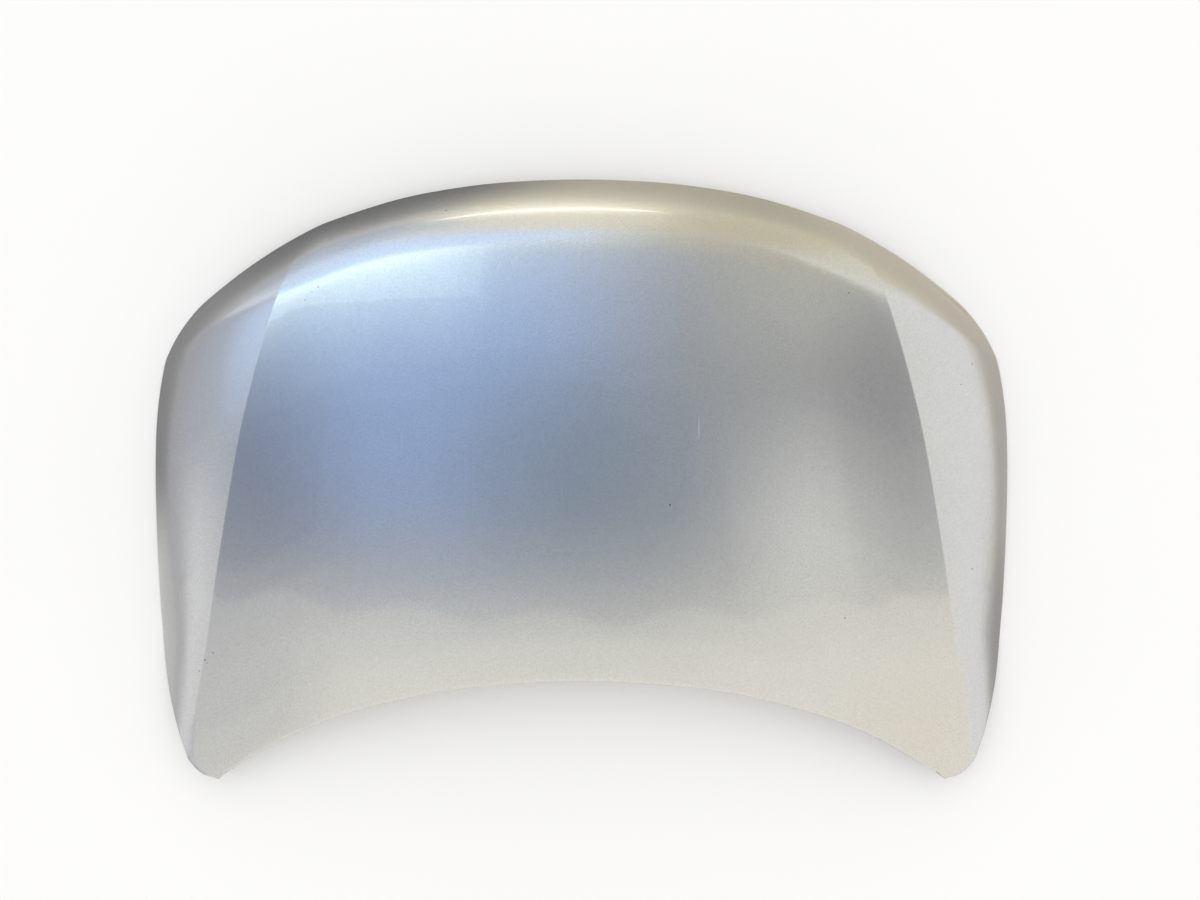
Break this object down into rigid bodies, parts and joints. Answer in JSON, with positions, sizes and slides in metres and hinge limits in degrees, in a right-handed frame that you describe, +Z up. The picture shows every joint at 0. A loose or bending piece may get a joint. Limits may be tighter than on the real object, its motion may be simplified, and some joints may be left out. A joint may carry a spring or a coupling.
{
  "type": "car bonnet",
  "caption": "Silver steel car bonnet with a creased, crowned outer skin hemmed round a pressed inner frame with ribs, hinge seats and a striker.",
  "frame": {"origin": "centre of the bonnet's box at the floor that it rests on, skin up", "axes": "+X to the bonnet's right seen from above with the nose ahead, +Y towards the nose, +Z up"},
  "size_m": [1.4594, 1.0066, 0.1607],
  "materials": {
    "skin_paint": "gloss silver metallic under clear coat",
    "inner_paint": "satin silver base coat without full clear coat",
    "zinc": "zinc plated",
    "rubber": "matt black",
    "mastic": "cured mastic"
  },
  "bodies": {
    "root": {"outer_skin": "skin_paint", "inner_frame": "inner_paint", "striker_plate": "zinc", "striker_loop": "zinc", "mastic_bead_left_1_1": "mastic", "mastic_bead_right_1_1": "mastic", "mastic_bead_left_1_2": "mastic", "mastic_bead_right_1_2": "mastic", "mastic_bead_left_1_3": "mastic", "mastic_bead_right_1_3": "mastic", "mastic_bead_left_2_1": "mastic", "mastic_bead_right_2_1": "mastic", "mastic_bead_left_2_2": "mastic", "mastic_bead_right_2_2": "mastic", "mastic_bead_left_2_3": "mastic", "mastic_bead_right_2_3": "mastic", "mastic_bead_left_3_1": "mastic", "mastic_bead_right_3_1": "mastic", "mastic_bead_left_3_2": "mastic", "mastic_bead_right_3_2": "mastic", "mastic_bead_left_3_3": "mastic", "mastic_bead_right_3_3": "mastic", "hinge_reinforcement_left": "zinc", "hinge_reinforcement_right": "zinc", "latch_reinforcement": "zinc", "hinge_nut_left_1": "zinc", "hinge_nut_left_2": "zinc", "hinge_nut_right_1": "zinc", "hinge_nut_right_2": "zinc", "latch_nut_1": "zinc", "latch_nut_2": "zinc", "striker_bolt_1": "zinc", "striker_bolt_2": "zinc", "buffer_front_left": "rubber", "buffer_rear_left": "rubber", "buffer_front_right": "rubber", "buffer_rear_right": "rubber"}
  },
  "joints": []
}
